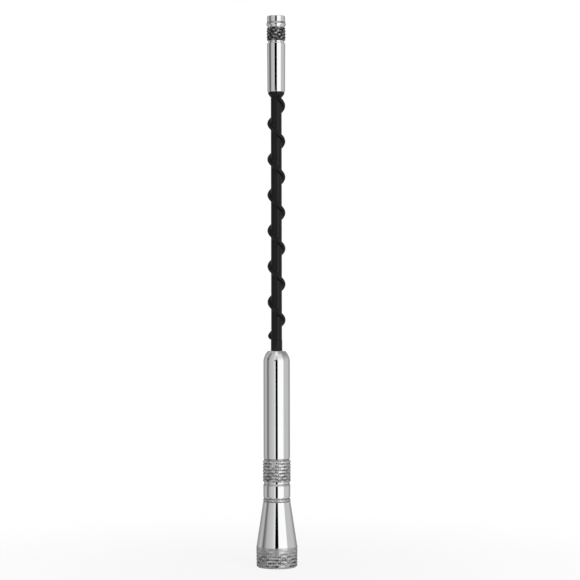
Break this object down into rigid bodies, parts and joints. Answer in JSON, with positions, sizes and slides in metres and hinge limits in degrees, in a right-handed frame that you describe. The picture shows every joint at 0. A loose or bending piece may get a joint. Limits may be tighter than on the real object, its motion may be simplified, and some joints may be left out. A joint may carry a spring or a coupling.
{
  "type": "car mast aerial",
  "caption": "Short screw-on mast aerial: knurled chrome foot, chrome sleeve with a knurled grip, black whip with a raised spiral ridge, and a chrome tip with a knurled cap.",
  "frame": {"origin": "centre of the foot's underside, on the mast's axis", "axes": "+Z along the mast from the foot to the tip; +X and +Y square to it"},
  "size_m": [0.015, 0.015, 0.2],
  "materials": {
    "chrome": "bright chrome plating on turned brass, polished, with rolled knurls",
    "bright_steel": "bright plated steel with fine turning marks",
    "brass": "bare turned brass",
    "glass_fibre": "pultruded glass fibre, slightly glossy, with long fibres",
    "copper": "bare drawn copper wire",
    "black_sheath": "black moulded plastic, satin, with a faint sheen along the ridge",
    "black_rubber": "black moulded rubber, smooth and slightly glossy"
  },
  "bodies": {
    "foot": {"base_cone": "chrome"},
    "seam": {"seam_washer": "bright_steel"},
    "mast": {"rod_ferrule": "brass", "mast_sleeve": "chrome", "core_rod": "glass_fibre", "aerial_wire": "copper", "mast_sheath": "black_sheath", "root_bush": "black_rubber", "tip_collar": "black_rubber", "tip_ferrule": "chrome"},
    "tip_seam": {"tip_washer": "bright_steel"},
    "tip": {"tip_cap": "chrome"}
  },
  "joints": [
    {"name": "mast_rise", "type": "slide", "parent": "foot", "child": "seam", "axis": [0, 0, 1], "range_m": [0, 0.007]},
    {"name": "mast_turn", "type": "hinge", "parent": "seam", "child": "mast", "pos_m": [0, 0, 0.031], "axis": [0, 0, 1], "range_deg": [0, 2520]},
    {"name": "tip_rise", "type": "slide", "parent": "mast", "child": "tip_seam", "axis": [0, 0, 1], "range_m": [0, 0.0049]},
    {"name": "tip_turn", "type": "hinge", "parent": "tip_seam", "child": "tip", "pos_m": [0, 0, 0.191], "axis": [0, 0, 1], "range_deg": [0, 2520]}
  ],
  "couplings": [
    {"joint": "mast_turn", "follows": "mast_rise", "rad_per_m": 6283.2},
    {"joint": "tip_turn", "follows": "tip_rise", "rad_per_m": 8976}
  ]
}
